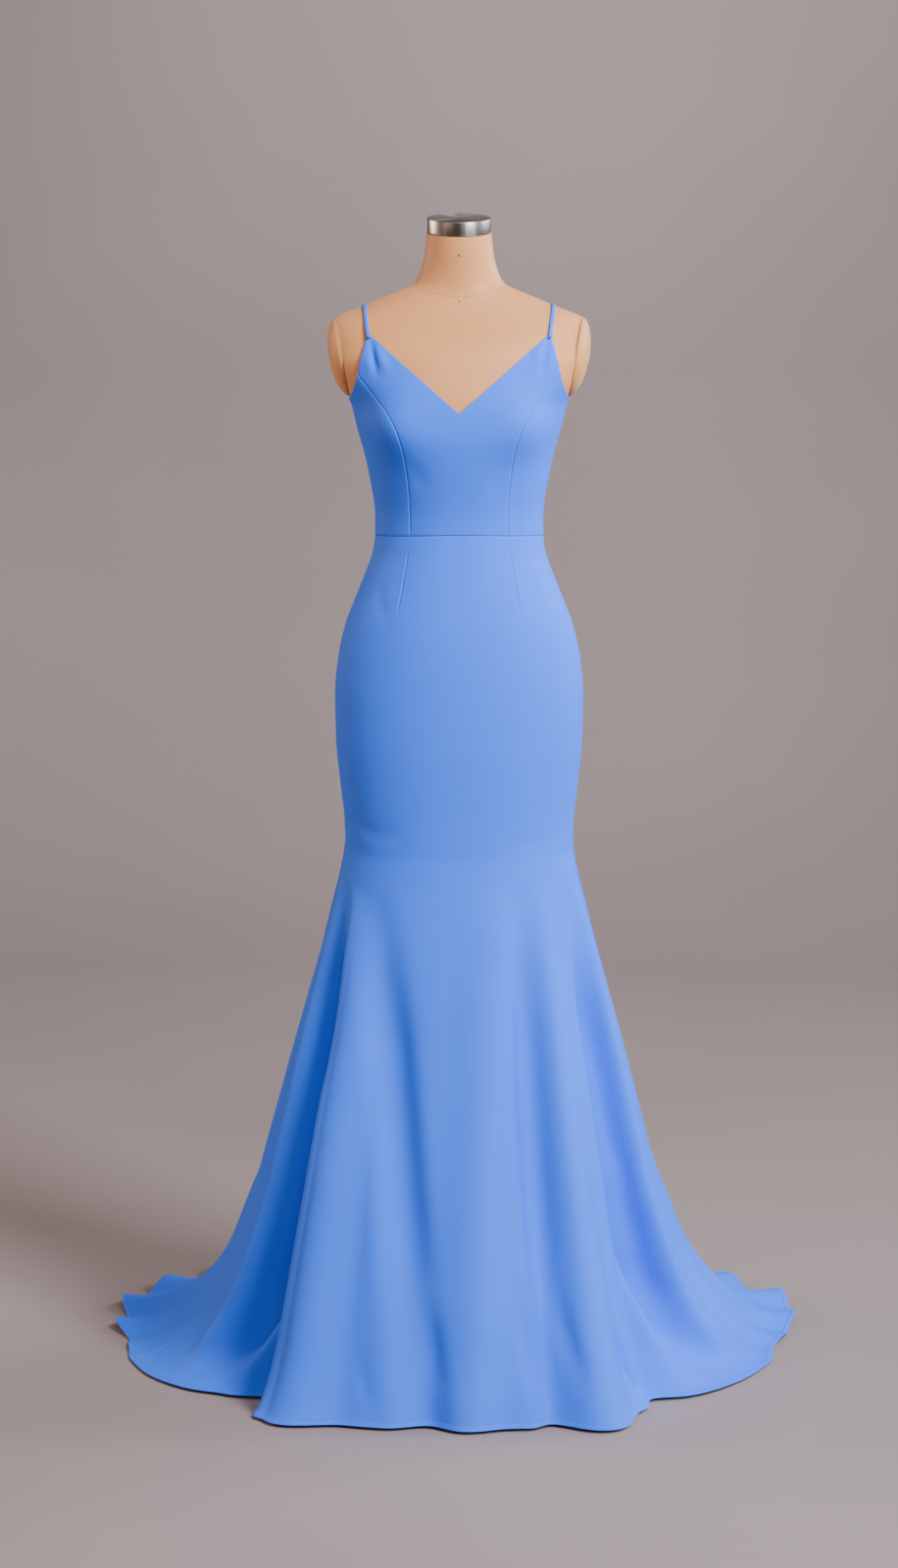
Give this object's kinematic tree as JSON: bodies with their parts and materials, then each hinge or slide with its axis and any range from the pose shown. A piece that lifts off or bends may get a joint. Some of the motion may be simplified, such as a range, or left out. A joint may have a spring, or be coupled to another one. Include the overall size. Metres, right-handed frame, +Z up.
{
  "type": "long trumpet dress with a sweep train, on a limbless dress form",
  "caption": "Floor-length fitted gown with a V neck, thin straps, princess seams and a sweep train, standing on a limbless dress form with a pole and round base.",
  "frame": {"origin": "centre of the stand's round base, on its underside, where it meets the floor", "axes": "+Z up, the gown's front faces -Y and the train lies towards +Y, the wearer's left is +X"},
  "size_m": [1.0012, 1.0538, 1.6216],
  "materials": {
    "crepe": "matte light-blue crepe with a soft sheen",
    "form_cover": "smooth tan cover, satin",
    "neck_steel": "turned and brushed steel",
    "stand_metal": "dark satin paint",
    "zip": "dyed to match the crepe"
  },
  "bodies": {
    "gown_on_form": {"skirt_front": "crepe", "skirt_back_left": "crepe", "skirt_back_right": "crepe", "bodice_front_centre": "crepe", "bodice_side_front_left": "crepe", "bodice_side_front_right": "crepe", "bodice_back_left": "crepe", "bodice_back_right": "crepe", "strap_left": "crepe", "strap_right": "crepe", "zip_teeth": "zip", "zip_slider": "zip", "form_torso": "form_cover", "form_shoulder_cap_left": "form_cover", "form_shoulder_cap_right": "form_cover", "form_neck_cap": "neck_steel", "form_flange": "stand_metal", "form_pole": "stand_metal", "form_base": "stand_metal"},
    "zip_pull": {"zip_pull": "zip"}
  },
  "joints": [
    {"name": "zip_pull_swing", "type": "hinge", "parent": "gown_on_form", "child": "zip_pull", "pos_m": [0, 0.1064, 1.356], "axis": [1, 0, 0], "range_deg": [0, 150]}
  ]
}
